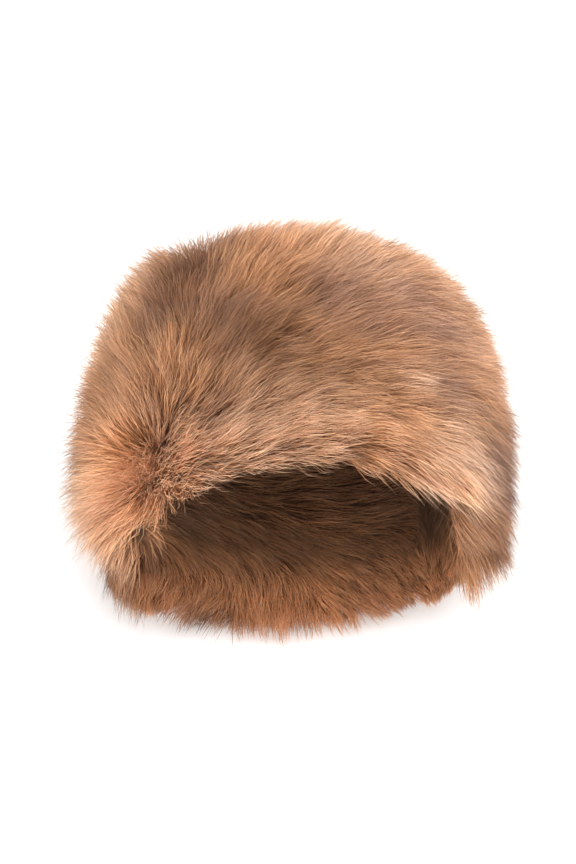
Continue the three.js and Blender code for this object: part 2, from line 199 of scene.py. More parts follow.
# the nap wanders in waves of these lengths, and less near the floor
WANDER, RIPPLES, WAVES = 0.29, 10, (26, 60)
CALM, FREE_HEIGHT = 0.3, 60


def unit(v):
    return v / np.maximum(np.linalg.norm(v, axis=-1, keepdims=True), 1e-9)


def place(shares):
    """Millimetres from shares of the drum's half width, depth and height."""
    return np.stack([0.5 * WIDTH * shares[..., 0], DEPTH * shares[..., 1],
                     LIFT + HEIGHT * shares[..., 2]], -1) + SHIFT


def ripple(p):
    """A smooth wandering through the air, made of a few waves."""
    rng = np.random.default_rng(5)
    total = np.zeros_like(p)
    for _ in range(RIPPLES):
        along = rng.normal(size=3)
        along *= 2 * np.pi / rng.uniform(*WAVES) / np.linalg.norm(along)
        total += rng.normal(size=3) * np.sin(p @ along + rng.uniform(0, 2 * np.pi))[..., None]
    return total / math.sqrt(RIPPLES)


def comb(table, p):
    """The combed direction at points, from the table's nearest places, wandering a little."""
    total = np.zeros_like(p)
    for at, way in zip(place(table), table[:, 3:]):
        weight = (((p - at)**2).sum(-1) + BLEND**2)**-FALL_OFF
        total += weight[..., None] * way / np.linalg.norm(way)
    total = unit(total) + WANDER * np.clip(p[..., 2:] / FREE_HEIGHT, CALM, 1) * ripple(p)
    return unit(total)


# %% [markdown]
# ## Marks in the pile
# A parting runs over the upper left, its hairs shorter and darkened with painted shade, a whorl
# sits at the rim, a tuft stands up, the pile is a little shorter at one corner, and cream and mauve
# patches drift through the fur. Pale marks are cream fur, and along the rim and at the front right they
# are also painted light, while patches of painted shade darken the pile in places. They could be
# painted on an image, but a hair takes its looks from where its root is. So each mark is a place on
# the skin with a radius.

# %% Marks on the skin
# places are given by s and the degrees round the skin, 0 at the right and 90 at the top
# the parting's hairs are cut shorter and carry painted shade
FURROW, FURROW_RADIUS = np.array([(0.50, 124), (0.44, 124), (0.33, 128)]), 12.0
# columns: s, degrees, radius in mm
WHORL, WHORL_HEART = (0.03, 153, 24), (0.03, 153, 20)
TUFT, CORNER = (0.58, 138, 12), (0.56, 148, 20)
# columns: s, degrees, radius in mm, pale, shade, guard, mauve
# pale is cream fur, and along the rim and at the front right also painted light; shade is painted shade
PATCHES = np.array([
    (0.08, 48, 14, 1.0, 0.0, 0.0, 0.0), (0.01, 45, 13, 0.7, 0.0, 0.0, 0.0),
    (0.01, 61, 16, 0.8, 0.0, 0.0, 0.0), (0.17, 69, 8, 0.9, 0.0, 0.0, 0.2),
    (0.14, 58, 8, 0.5, 0.0, 0.0, 0.0), (0.04, 176, 17, 1.0, 0.0, 0.0, 0.0),
    (0.06, 165, 13, 0.6, 0.0, 0.0, 0.0), (0.50, 150, 26, 0.7, 0.0, 0.0, 0.0),
    (0.41, 166, 26, 0.7, 0.0, 0.0, 0.0), (0.60, 50, 34, 0.3, 0.1, 0.0, 0.0),
    (0.48, 78, 24, 0.45, 0.0, 0.0, 0.2), (0.64, 94, 26, 0.3, 0.0, 0.0, 0.0),
    (0.01, 92, 20, 0.7, 0.0, 0.0, 0.0), (0.01, 115, 22, 0.8, 0.0, 0.0, 0.0),
    (0.01, 138, 22, 0.6, 0.0, 0.0, 0.0), (0.36, 38, 36, 0.2, 0.0, 0.0, 0.3),
    (0.10, 25, 30, 0.0, 0.75, 0.1, 0.6), (0.24, 154, 18, 0.0, 0.35, 0.0, 0.0),
    (0.00, 200, 17, 0.0, 0.6, 0.0, 0.0), (0.02, 191, 13, 0.0, 0.5, 0.0, 0.0),
    (0.00, -8, 22, 0.0, 0.15, 0.0, 0.0), (0.00, -50, 16, 0.0, 0.1, 0.7, 0.0),
    (0.00, 246, 12, 0.0, 0.9, 1.0, 0.0), (0.27, 12, 15, 0.0, 0.3, 1.0, 0.5),
    (0.63, 128, 12, 0.0, 0.0, 0.8, 0.0), (0.14, 173, 24, 0.0, 0.25, 0.6, 0.0),
    (0.27, 80, 22, 0.0, 0.2, 0.0, 0.8), (0.35, 62, 20, 0.0, 0.1, 0.1, 0.9),
    (0.20, 57, 11, 0.0, 0.5, 0.3, 0.9), (0.15, 30, 16, 0.0, 0.3, 0.3, 0.8),
    (0.22, 114, 20, 0.0, 0.6, 0.2, 0.3), (0.20, 103, 24, 0.0, 0.3, 0.0, 0.0),
    (0.14, 91, 20, 0.0, 0.15, 0.0, 0.0), (0.30, 135, 22, 0.0, 0.35, 0.1, 0.2),
    (0.29, 116, 11, 0.0, 0.2, 0.2, 0.7), (0.35, 90, 14, 0.0, 0.2, 0.0, 0.7)])


def on_skin(table):
    """The places of a table that starts with s and degrees."""
    return skin(table[:, 0], np.radians(table[:, 1]))[0]


def near(p, mark):
    """How near points are to a mark: 1 on it, falling to 0 away from it."""
    return np.exp(-(np.linalg.norm(p - on_skin(np.array([mark]))[0], axis=-1) / mark[2])**2)


def furrow_at(p):
    """How near points are to the parting, whose hairs get painted shade: 1 on it, 0 away from it."""
    ends = on_skin(FURROW)
    away = np.full(p.shape[:-1], np.inf)
    for a, b in zip(ends[:-1], ends[1:]):
        t = np.clip(((p - a) @ (b - a)) / ((b - a) @ (b - a)), 0, 1)
        away = np.minimum(away, np.linalg.norm(p - a - t[..., None] * (b - a), axis=-1))
    return np.exp(-(away / FURROW_RADIUS)**2)


def patches_at(p):
    """How pale (cream fur, and painted light along the rim and at the front right), how darkened by
    painted shade, how full of guard hairs and how mauve the pile is at points.
    """
    away = np.linalg.norm(p[:, None] - on_skin(PATCHES)[None], axis=-1)
    return (np.exp(-(away / PATCHES[:, 2])**2) @ PATCHES[:, 3:]).clip(0, 1).T


print("patches", len(PATCHES), "and the whorl at", on_skin(np.array([WHORL])).round(1), "mm")

# %% [markdown]
# ## Which way is out, and which way the nap runs
# A growing hair asks at each step which way is out of the skin and which way the nap runs. Looking
# for the nearest place of the skin each time would be slow. So both are worked out once on a coarse
# box of cells round the hat, and then read between the cells.

# %% A box of cells round the hat
CELL = 4.0
BOX_START, CELLS = np.array([-152.0, -128.0, -12.0]), np.array([77, 65, 58])


def search_tree(points):
    """A tree that finds the nearest of some points quickly."""
    tree = KDTree(len(points))
    for i, point in enumerate(points):
        tree.insert(point, i)
    tree.balance()
    return tree


rings = np.meshgrid(np.linspace(-0.28, 0.995, 150), np.linspace(0, 2 * np.pi, 180, False), indexing="ij")
skin_points, skin_normals = (v.reshape(-1, 3) for v in skin(*rings))
skin_tree = search_tree(skin_points)
axes = [BOX_START[k] + CELL * np.arange(CELLS[k]) for k in range(3)]
centres = np.stack(np.meshgrid(*axes, indexing="ij"), -1).reshape(-1, 3)
cell_normals = skin_normals[[skin_tree.find(c)[1] for c in centres]]
field_out = np.concatenate([cell_normals, comb(COMB_OUTSIDE, centres)], 1).reshape(*CELLS, 6)
field_in = np.concatenate([-cell_normals, comb(COMB_INSIDE, centres)], 1).reshape(*CELLS, 6)
print("cells", len(centres))

# %% Reading between the cells
def read(field, p):
    """A field's values at points, blended from the eight cells round each."""
    at = np.clip((p - BOX_START) / CELL, 0, CELLS - 1.001)
    i = at.astype(int)
    value = 0
    for corner in np.ndindex(2, 2, 2):
        share = np.abs(1 - np.array(corner) - (at - i)).prod(1, keepdims=True)
        value = value + share * field[tuple((i + corner).T)]
    return value


print("out of the top is", read(field_out, np.array([[0.0, 0.0, 190.0]]))[0, :3].round(2))

# %% [markdown]
# ## Growing hairs
# A hair of pile starts in the backing, stands up steeply and bends over along the nap, and hairs that
# stand close together cling into tapering locks. Curves with hair modifiers could do this, but they
# can't ask the box of cells. So a hair is a few points, stepped from its root, and then leaned to a
# guide hair near it: first into large locks, and then into small ones, which gives the ragged look.

# %% Growing hairs step by step
STEPS, STRAY = 3, 0.4


def grow(roots, out, length, rise, field, rng, wave):
    """Hairs from roots with outward normals: arrays of points, from root to tip."""
    points = [roots]
    sway = rng.normal(0, 1, (len(roots), 2)) * wave[:, None]
    for k in range(STEPS):
        u = (k + 0.5) / STEPS
        asked = read(field, points[-1])
        n = unit(out * (1 - u) + unit(asked[:, :3]) * u)
        nap = unit(asked[:, 3:] - (asked[:, 3:] * n).sum(1, keepdims=True) * n)
        angle = rise[:, 0] * (1 - u) + rise[:, 1] * u + sway[:, 1] * 0.5
        way = nap * np.cos(angle)[:, None] + n * np.sin(angle)[:, None]
        aside = sway[:, :1] + STRAY * rng.normal(0, 1, (len(roots), 1)) * wave[:, None]
        points.append(points[-1] + unit(way + np.cross(n, nap) * aside) * (length / STEPS)[:, None])
    return np.stack(points, 1)


top_root, upward = np.array([[0.0, 0.0, 172.0]]), np.array([[0.0, 0.0, 1.0]])
trial = grow(top_root, upward, np.array([39.0]), np.array([[1.05, 0.29]]), field_out,
             np.random.default_rng(0), np.zeros(1))
print("a trial hair on the top reaches", (trial[0, -1] - trial[0, 0]).round(1), "mm")


# %% Locks
def clump(hairs, lock, loose, rng, power=1.4):
    """Lean each hair to the guide hair whose root is nearest. A lock is its hairs and its pull."""
    every, pull = lock
    guides = rng.choice(len(hairs), len(hairs) // every, replace=False)
    nearby = search_tree(hairs[guides, 0])
    mine = guides[[nearby.find(root)[1] for root in hairs[:, 0]]]
    u = np.linspace(0, 1, hairs.shape[1])[None, :, None]
    amount = (pull * loose * rng.uniform(0.4, 1.0, len(hairs)))[:, None, None]
    return hairs + (hairs[mine] - hairs) * amount * u**power, mine


# %% Keeping hairs near the solids
# how far in mm a hair may pass the solids' box, so that both models keep one size
PAST = 12.5


def within(hairs):
    """Shorten the few hairs that would reach too far past the solids' box."""
    root = hairs[:, :1]
    reach = hairs - root
    low_corner, high_corner = (np.array(corner) / MM for corner in cad_box)
    room = np.where(reach > 0, high_corner + PAST - root, root - low_corner + PAST)
    share = room / np.maximum(np.abs(reach), 1e-6)
    return root + reach * np.minimum(1, share.min((1, 2), keepdims=True))


print("the trial hair, kept near the solids, ends at", within(trial)[0, -1].round(1), "mm")


# %% [markdown]
# ## Where hairs start
# Roots are strewn evenly over the skin. A regular grid of them would show as rows. At the rim the
# fabric is folded in, so roots in front of it go round a fold as thick as the whole wall.

# %% Roots
ROWS, TURNS = 120, 240
FOLD_S, FOLD_TURN = 0.06, 0.75 * np.pi
AHEAD = np.array([0.0, -1.0, 0.0])


def scatter(count, low, high, keep, rng):
    """Places on the skin, evenly by area: s from low to high, more of them where keep is larger."""
    s, a = np.meshgrid(np.linspace(low, high, ROWS + 1), np.linspace(0, 2 * np.pi, TURNS + 1),
                       indexing="ij")
    p, n = skin(s, a)
    area = np.linalg.norm(np.cross(p[1:, :-1] - p[:-1, :-1], p[:-1, 1:] - p[:-1, :-1]), axis=-1)
    chance = (area * keep(p[:-1, :-1], n[:-1, :-1])).ravel()
    pick = rng.choice(chance.size, count, p=chance / chance.sum())
    i, j = np.unravel_index(pick, area.shape)
    s = low + (high - low) * (i + rng.random(count)) / ROWS
    a = 2 * np.pi * (j + rng.random(count)) / TURNS
    return s, a


def fold_over(s, a, thick):
    """Roots and normals: on the skin, and round the folded edge where s is below 0."""
    p, n = skin(np.maximum(s, 0), a)
    turn = np.clip(-s / FOLD_S, 0, 1) * FOLD_TURN
    out = unit(n * np.cos(turn)[:, None] + AHEAD * np.sin(turn)[:, None])
    centre = p - n * (0.5 * thick)
    return np.where((s < 0)[:, None], centre + out * (0.5 * thick), p), out


# %% [markdown]
# ## From hairs to ribbons
# Blender can render a hair as a curve, but only faces can be exported, and a round tube takes many of
# them. So a hair is drawn as a narrow ribbon that tapers to its tip. Its flat side faces out of the
# pile, a little turned from hair to hair. Six values ride on its points: how far along the hair they
# are, a tone of the hair's own, how dark its guard tip is, how pale it is (cream fur, and painted
# light along the rim and at the front right), how much painted shade it has, and how mauve it is.

# %% The points of ribbons
# hairs under the hat lie on the floor, their tips at these heights in mm
LYING, ROOT_HEIGHT = (0.4, 5.0), 0.5
ROLL, NARROW_ROOT, TAPER = 0.55, 0.25, 2.2


def ribbon_points(hairs, out, width, rng):
    """Pairs of points along each hair, then its tip."""
    count, steps = hairs.shape[:2]
    hairs = hairs.copy()
    lying = rng.uniform(*LYING, (count, 1)) * np.linspace(0.2, 1, steps)[1:]
    hairs[:, 1:, 2] = np.maximum(hairs[:, 1:, 2], lying)
    hairs[:, 0, 2] = np.maximum(hairs[:, 0, 2], ROOT_HEIGHT)
    way = unit(np.gradient(hairs, axis=1))
    face = unit(out[:, None, :] - (out[:, None, :] * way).sum(-1, keepdims=True) * way)
    roll = rng.normal(0, ROLL, (count, 1, 1))
    side = unit(np.cross(way, face) * np.cos(roll) + face * np.sin(roll))
    u = np.linspace(0, 1, steps)
    half = 0.5 * width[:, None] * (1 - NARROW_ROOT * (1 - u)) * np.sqrt(np.maximum(1 - u**TAPER, 0))
    pairs = np.stack([hairs - side * half[..., None], hairs + side * half[..., None]], 2)
    return np.concatenate([pairs[:, :-1].reshape(count, -1, 3), hairs[:, -1:]], 1)


# %% The mesh of ribbons
def ribbon_mesh(name, points, steps):
    """One mesh of quads along each hair, with a triangle at its tip, and the corners of one hair."""
    count, per = points.shape[:2]
    quads = np.array([(2 * k, 2 * k + 1, 2 * k + 3, 2 * k + 2) for k in range(steps - 2)])
    corners = np.concatenate([quads.ravel(), [per - 3, per - 2, per - 1]])
    starts = 4 * np.arange(steps - 1)
    which = np.arange(count)[:, None]
    mesh = bpy.data.meshes.new(name)
    mesh.vertices.add(count * per)
    mesh.vertices.foreach_set("co", (points * MM).astype(np.float32).ravel())
    mesh.loops.add(count * len(corners))
    mesh.loops.foreach_set("vertex_index", (which * per + corners).astype(np.int32).ravel())
    mesh.polygons.add(count * len(starts))
    mesh.polygons.foreach_set("loop_start", (which * len(corners) + starts).astype(np.int32).ravel())
    mesh.update(calc_edges=True)
    mesh.polygons.foreach_set("use_smooth", np.ones(len(mesh.polygons), bool))
    return mesh, corners


# %% Values and a map for ribbons
def put_value(mesh, key, value):
    mesh.attributes.new(key, "FLOAT", "POINT").data.foreach_set("value", value.astype(np.float32))


def lay_flat(mesh, count, steps, corners):
    """Give each hair a small cell of its own on the map."""
    wide = math.ceil(math.sqrt(count * 4))
    tall = math.ceil(count / wide)
    cell = np.stack([np.arange(count) % wide, np.arange(count) // wide], -1)
    up = np.repeat(0.06 + 0.88 * np.linspace(0, 1, steps)[:-1], 2)
    flat = np.concatenate([np.stack([np.tile([0.2, 0.8], steps - 1), up], -1), [[0.5, 0.94]]])
    uv = (cell[:, None, :] + flat[corners]) / [wide, tall]
    mesh.uv_layers.new(name="OFBake").data.foreach_set("uv", uv.astype(np.float32).ravel())


# %% Pieces in the frame
def ride(piece, nodes):
    """Put a piece on the hat's one body, in place of the solids that it shows."""
    bpy.context.collection.objects.link(piece)
    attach(piece, "root")
    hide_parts(*nodes)
    print(piece.name, "faces", len(piece.data.polygons))


def ribbons(name, hairs, out, width, values, material, nodes, rng):
    """A piece of one ribbon to each hair, with the hair's values on its points."""
    count, steps = hairs.shape[:2]
    points = ribbon_points(hairs, out, width, rng)
    mesh, corners = ribbon_mesh(name, points, steps)
    along = np.concatenate([np.repeat(np.linspace(0, 1, steps)[:-1], 2), [1.0]])
    put_value(mesh, "along", np.tile(along, count))
    for key, value in values.items():
        put_value(mesh, key, np.repeat(value, points.shape[1]))
    lay_flat(mesh, count, steps, corners)
    mesh.materials.append(material)
    ride(bpy.data.objects.new(name, mesh), nodes)


# %% [markdown]
# ## Colours of the pile
# A hair of this fur is dark at its root, tan along its length and paler before its tip, and coarse
# guard hairs among them end nearly black. Images on ribbons this narrow would blur. So one node group
# works the colour out from the values on a hair's points, and mixes painted shade and painted light
# into it too. It is built once, and the outer pile and the lining's pile each use it with colours of
# their own.

# %% Helpers for nodes
def group(name, inputs, outputs):
    tree = bpy.data.node_groups.new(name, "ShaderNodeTree")
    for label, kind in inputs:
        tree.interface.new_socket(label, in_out="INPUT", socket_type=kind)
    for label, kind in outputs:
        tree.interface.new_socket(label, in_out="OUTPUT", socket_type=kind)
    return tree, tree.nodes.new("NodeGroupInput"), tree.nodes.new("NodeGroupOutput")


def ramp(tree, stops, value):
    """A colour from a value, by stops that each have a place and a colour."""
    node = tree.nodes.new("ShaderNodeValToRGB")
    while len(node.color_ramp.elements) < len(stops):
        node.color_ramp.elements.new(0.5)
    for element, (at, colour) in zip(node.color_ramp.elements, stops):
        element.position = at
        element.color = (*colour, 1)
    tree.links.new(value, node.inputs[0])
    return node.outputs[0]


def mix(tree, kind, factor, a, b):
    """Two colours mixed. Each of the three may be a socket or a plain value."""
    node = tree.nodes.new("ShaderNodeMix")
    node.data_type, node.blend_type = "RGBA", kind
    for socket, value in ((node.inputs[0], factor), (node.inputs[6], a), (node.inputs[7], b)):
        if isinstance(value, bpy.types.NodeSocket):
            tree.links.new(value, socket)
        else:
            socket.default_value = (*value, 1) if isinstance(value, tuple) else value
    return node.outputs[2]


# %% Helpers for masks
def grade(tree, value, low, high):
    """0 where the value is low, rising to 1 where it is high."""
    node = tree.nodes.new("ShaderNodeMapRange")
    node.inputs["From Min"].default_value = low
    node.inputs["From Max"].default_value = high
    tree.links.new(value, node.inputs["Value"])
    return node.outputs["Result"]


def times(tree, a, b):
    node = tree.nodes.new("ShaderNodeMath")
    node.operation = "MULTIPLY"
    tree.links.new(a, node.inputs[0])
    tree.links.new(b, node.inputs[1])
    return node.outputs[0]


def drift(tree, scale, low, high, shift=(0, 0, 0)):
    """A soft patchy mask from 0 to 1 through the object's own space."""
    where = tree.nodes.new("ShaderNodeTexCoord")
    move = tree.nodes.new("ShaderNodeMapping")
    move.inputs["Location"].default_value = shift
    noise = tree.nodes.new("ShaderNodeTexNoise")
    noise.inputs["Scale"].default_value = scale
    noise.inputs["Detail"].default_value = 2
    tree.links.new(where.outputs["Object"], move.inputs["Vector"])
    tree.links.new(move.outputs["Vector"], noise.inputs["Vector"])
    return grade(tree, noise.outputs["Fac"], low, high)


# %% The group of pile colours
VALUES = ("along", "tone", "guard", "pale", "shade", "mauve")
COLOURS = ("Root", "Body", "Light", "Shaded")
# tints and tones are multiplied into the hair's own colour
# CREAM is cream fur, and along the rim and at the front right it is also painted light
MAUVE, CREAM, GOLD = (0.86, 0.92, 1.22), (1.45, 1.85, 2.5), (1.08, 1.06, 1.0)
DARK_TONE, EVEN_TONE, BRIGHT_TONE = (0.42, 0.37, 0.34), (1, 1, 1), (1.5, 1.55, 1.6)
GUARD_TIP = (0.05, 0.028, 0.022)
# how far along the hair its body and its light colour are reached
BODY_AT, LIGHT_AT = 0.45, 0.85


def pile_colours():
    """The colour of a hair at a point, from the values there and the pile's own colours."""
    tree, enter, leave = group("Pile colours", [(key.capitalize(), "NodeSocketFloat") for key in VALUES]
                               + [(key, "NodeSocketColor") for key in COLOURS],
                               [("Color", "NodeSocketColor")])
    given = enter.outputs
    strand = mix(tree, "MIX", grade(tree, given["Along"], 0.0, BODY_AT), given["Root"], given["Body"])
    strand = mix(tree, "MIX", grade(tree, given["Along"], BODY_AT, LIGHT_AT), strand, given["Light"])
    # cream fur, and painted light along the rim and at the front right, where the pale value is set
    cream_and_painted_light = times(tree, given["Pale"], grade(tree, given["Along"], 0.15, 0.6))
    # the Shaded colour, mixed in by the shade value, is painted shade
    for where, tint in ((given["Mauve"], MAUVE), (drift(tree, 30, 0.45, 0.7, (3, 1, 2)), GOLD),
                        (cream_and_painted_light, CREAM), (given["Shade"], given["Shaded"])):
        strand = mix(tree, "MIX", where, strand, mix(tree, "MULTIPLY", 1.0, strand, tint))
    tone = ramp(tree, [(0.0, DARK_TONE), (0.5, EVEN_TONE), (1.0, BRIGHT_TONE)], given["Tone"])
    strand = mix(tree, "MULTIPLY", 1.0, strand, tone)
    dark_tip = times(tree, given["Guard"], grade(tree, given["Along"], 0.5, 1.0))
    tree.links.new(mix(tree, "MIX", dark_tip, strand, GUARD_TIP), leave.inputs["Color"])
    return tree


pile_group = pile_colours()
print("sockets of the pile's group", [item.name for item in pile_group.interface.items_tree])

# %% Materials of the pile
# the last colour of each, Shaded, is the tint of painted shade, mixed in by the shade value
OUTER_COLOURS = ((0.115, 0.042, 0.013), (0.475, 0.202, 0.078), (0.65, 0.338, 0.163), (0.42, 0.36, 0.33))
INNER_COLOURS = ((0.25, 0.10, 0.04), (0.86, 0.37, 0.15), (0.93, 0.47, 0.235), (0.21, 0.225, 0.25))


def hair_material(name, colours, roughness):
    """Hair with a soft gloss, its colour from the pile's group."""
    material = bpy.data.materials.new(name)
    material.use_nodes = True
    tree = material.node_tree
    shader = tree.nodes["Principled BSDF"]
    shader.inputs["Roughness"].default_value = roughness
    shader.inputs["Specular IOR Level"].default_value = 0.3
    shader.inputs["Sheen Weight"].default_value = 0.05
    paint = tree.nodes.new("ShaderNodeGroup")
    paint.node_tree = pile_group
    for key, colour in zip(COLOURS, colours):
        paint.inputs[key].default_value = (*colour, 1)
    for key in VALUES:
        value = tree.nodes.new("ShaderNodeAttribute")
        value.attribute_name = key
        tree.links.new(value.outputs["Fac"], paint.inputs[key.capitalize()])
    tree.links.new(paint.outputs["Color"], shader.inputs["Base Color"])
    return material


outer_hair = hair_material("Outer pile", OUTER_COLOURS, 0.5)
inner_hair = hair_material("Lining pile", INNER_COLOURS, 0.6)
print("materials", outer_hair.name, inner_hair.name)

# %% [markdown]
# ## The backing under the pile
# The hairs are held in a knitted backing, a cloth of about 3 mm. Its stitches could be modelled, but
# the pile hides nearly all of it. So it is a plain brown knit with fine specks, a thin closed wall for
# each of the band, the crown and the lining, and it keeps daylight from showing between the hairs.

# %% Knit
KNIT_DARK, KNIT_LIGHT, SPECKS = (0.05, 0.028, 0.016), (0.12, 0.066, 0.038), 900


def knit_material():
    material = bpy.data.materials.new("Knitted backing")
    material.use_nodes = True
    tree = material.node_tree
    shader = tree.nodes["Principled BSDF"]
    shader.inputs["Roughness"].default_value = 0.9
    shader.inputs["Specular IOR Level"].default_value = 0.1
    speck = drift(tree, SPECKS, 0.35, 0.65)
    tree.links.new(ramp(tree, [(0, KNIT_DARK), (1, KNIT_LIGHT)], speck), shader.inputs["Base Color"])
    return material


knit = knit_material()
print("material", knit.name)

# %% Backing walls
BACKING, LINING, GAP = 3.0, 2.6, 0.35
AROUND, RINGS, OFF_FLOOR = 80, 26, 0.3
SEAM, SEAM_GAP, CLOSED_END = 128.0, 0.004, 0.9995


def wall(name, low, high, outer, inner, nodes):
    """A closed wall between two depths under the skin, from s low to s high."""
    a = np.linspace(0, 2 * np.pi, AROUND, False)[None]
    s = np.linspace(low, high, RINGS)[:, None]
    p, n = skin(*np.broadcast_arrays(s, a))
    loops = [*(p - n * outer), *(p - n * inner)[::-1]]
    verts = np.concatenate(loops)
    verts[:, 2] = np.maximum(verts[:, 2], OFF_FLOOR)
    faces = []
    for i in range(len(loops)):
        k = (i + 1) % len(loops)
        for j in range(AROUND):
            m = (j + 1) % AROUND
            faces.append((i * AROUND + j, k * AROUND + j, k * AROUND + m, i * AROUND + m))
    mesh = bpy.data.meshes.new(name)
    mesh.from_pydata(verts * MM, [], faces)
    mesh.polygons.foreach_set("use_smooth", np.ones(len(faces), bool))
    mesh.materials.append(knit)
    mesh.update()
    ride(bpy.data.objects.new(name, mesh), nodes)


grid = np.linspace(0, 1, 400)
seam_s = float(np.interp(SEAM / DEPTH, column(0, grid), grid))
print("the crown's seam is at s", round(seam_s, 3))
wall("band_backing", 0.0, seam_s - SEAM_GAP, 0.0, BACKING, ["side_band"])
wall("crown_backing", seam_s + SEAM_GAP, CLOSED_END, 0.0, BACKING, ["crown_panel"])
lining_depth = BACKING + GAP
wall("lining_backing", 0.0, CLOSED_END, lining_depth, lining_depth + LINING, ["fur_lining"])

# %% [markdown]
# ## The pile outside
# The band's and the crown's pile is long and thick, and stands in ragged locks with some dark guard
# hairs and flyaways. Where the hat rests, its weight presses the pile flat. One mesh could hold it
# all, but more than two hundred thousand triangles in a mesh are unwieldy, so the band's pile is
# grown in three parts and the crown's in one. Each part gets its own seed, so it grows the same again.

# %% Regions of the outer pile
# degrees: where a region starts, how far it fades in, where it ends, how far it fades out
PRESSED, LOWER_RIGHT = (214, 20, 320, 30), (-65, 15, 4, 12)
LEFT_LIP, TOP_EDGE = (186, 12, 228, 12), (65, 20, 150, 20)


def region(turn, start, fade_in, end, fade_out):
    """1 inside a region round the skin and 0 outside it, with soft ends."""
    return np.clip((turn - start) / fade_in, 0, 1) * np.clip((end - turn) / fade_out, 0, 1)


def lessened(value, cuts):
    """A value with a share taken off in each of some regions."""
    for share, where in cuts:
        value = value * (1 - share * where)
    return value


def trimmed(s, turn, roots, under):
    """How long a hair may be at its place: each row is the share cut off, and where."""
    before_rim = np.clip(-s / 0.02, 0, 1)
    from_right = (turn + 90) % 360 - 90
    return lessened(1.0, [
        (0.50, under),
        (0.25, furrow_at(roots)),
        (0.20, near(roots, WHORL)),
        (0.12, near(roots, CORNER)),
        (0.25, np.clip((s - 0.8) / 0.15, 0, 1)),
        (0.30, region(turn, *TOP_EDGE) * before_rim),
        (0.50, region(turn, *PRESSED) * before_rim),
        (0.62, region(from_right, *LOWER_RIGHT) * np.clip(1.2 - s / 0.25, 0, 1)),
        (0.05, region(turn, *LEFT_LIP) * np.clip(1 - s / 0.10, 0, 1))])


# %% Kinds of outer hair
GUARDS, PATCH_GUARDS, FLYAWAYS, DARK_FLYAWAYS = 0.11, 0.6, 0.05, 0.4


def outer_kinds(count, dark, rng):
    """Which hairs have dark guard tips, and how dark, and which are thin flyaways."""
    guard = rng.uniform(0.5, 1.0, count) * (rng.random(count) < GUARDS + PATCH_GUARDS * dark)
    fly = rng.random(count) < FLYAWAYS
    return np.maximum(guard, 0.8 * (fly & (rng.random(count) < DARK_FLYAWAYS))), fly


def uneven(own, shared, lock, rng):
    """A random amount of each hair's own, and one that it shares with its lock."""
    return own * rng.normal(size=len(lock)) + shared * rng.normal(size=len(lock))[lock]


# %% Outer pile
OUTER_LENGTH, OUTER_SPREAD, OUTER_WIDTHS = 39.0, (0.72, 1.06), (0.22, 0.42)
# how far a hair stands up from the nap, in radians: mean and spread at its root and at its tip
ROOT_RISE, TIP_RISE, STANDING = (1.05, 0.12), (0.29, 0.16), np.array([1.25, 0.95])
# hairs to a lock, and its pull
LARGE_LOCK, SMALL_LOCK, OUTER_BEND = (170, 0.42), (12, 0.66), 1.2


def outer_pile(name, count, low, high, keep, nodes, seed):
    """One part of the outer pile, from its roots to a finished piece."""
    rng = np.random.default_rng(seed)
    s, a = scatter(count, low, high, keep, rng)
    roots, out = fold_over(s, a, BACKING + GAP + LINING)
    turn = np.degrees(a) % 360
    under = np.clip(-out[:, 2], 0, 1)**0.8
    whorl = near(roots, WHORL)
    rim_top = region(turn, *TOP_EDGE) * np.clip(1 - s / 0.08, 0, 1)
    # pale is cream fur and, along the rim and at the front right, painted light; shade is painted shade
    pale, shade, dark, mauve = patches_at(roots)
    guard, fly = outer_kinds(count, dark, rng)
    length = OUTER_LENGTH * rng.uniform(*OUTER_SPREAD, count) * (1 + 0.2 * (guard > 0)) * (1 + 0.1 * fly)
    length *= trimmed(s, turn, roots, under)
    rise = np.stack([rng.normal(*ROOT_RISE, count), rng.normal(*TIP_RISE, count) + 0.12 * fly], -1)
    rise *= (1 - 0.62 * under)[:, None]
    rise += np.maximum(0.7 * whorl, 0.8 * near(roots, TUFT))[:, None] * (STANDING - rise)
    hairs = grow(roots, out, length, rise, field_out, rng, 0.24 + 0.3 * whorl)
    clinging = lessened(1.0, [(0.4, rim_top), (0.7, whorl), (0.7, guard > 0), (0.8, fly)])
    hairs, _ = clump(hairs, LARGE_LOCK, clinging, rng, OUTER_BEND)
    hairs, lock = clump(hairs, SMALL_LOCK, clinging, rng, OUTER_BEND)
    # painted light: the whorl's hairs are painted lighter against the shade among their standing roots,
    # and the rim's crest a little lighter
    tone = 0.5 + 0.5 * whorl + 0.08 * rim_top + uneven(0.25, 0.22, lock, rng)
    mauve = mauve + 0.06 + 0.25 * rng.normal(size=count)[lock]
    # painted shade in the parting
    shade = shade + 1.1 * furrow_at(roots)**0.75
    width = rng.uniform(*OUTER_WIDTHS, count) * (1 - 0.4 * fly)
    values = {"tone": tone.clip(0, 1), "guard": guard, "pale": pale, "shade": shade.clip(0, 1),
              "mauve": mauve.clip(0, 1)}
    ribbons(name, within(hairs), out, width, values, outer_hair, nodes, rng)


# %% Growing the outer pile
BAND_HAIRS, CROWN_HAIRS, RIM_S, POLE_S = 39000, 38000, -0.05, 0.995
# the top's normals point up by more than TOP_TILT; below BOTTOM_TILT the hat rests on thinner pile
TOP_TILT, BOTTOM_TILT, THIN = 0.42, -0.85, 0.35


def on_top(p, n):
    return (n[..., 2] > TOP_TILT) * (1 + 1.5 * near(p, WHORL_HEART))


def below_top(n):
    return (n[..., 2] <= TOP_TILT) * np.where(n[..., 2] < BOTTOM_TILT, THIN, 1.0)


def on_left(p, n):
    return below_top(n) * (p[..., 0] < 0)


def on_right(p, n):
    return below_top(n) * (p[..., 0] >= 0)


def everywhere(p, n):
    return np.ones(p.shape[:-1])


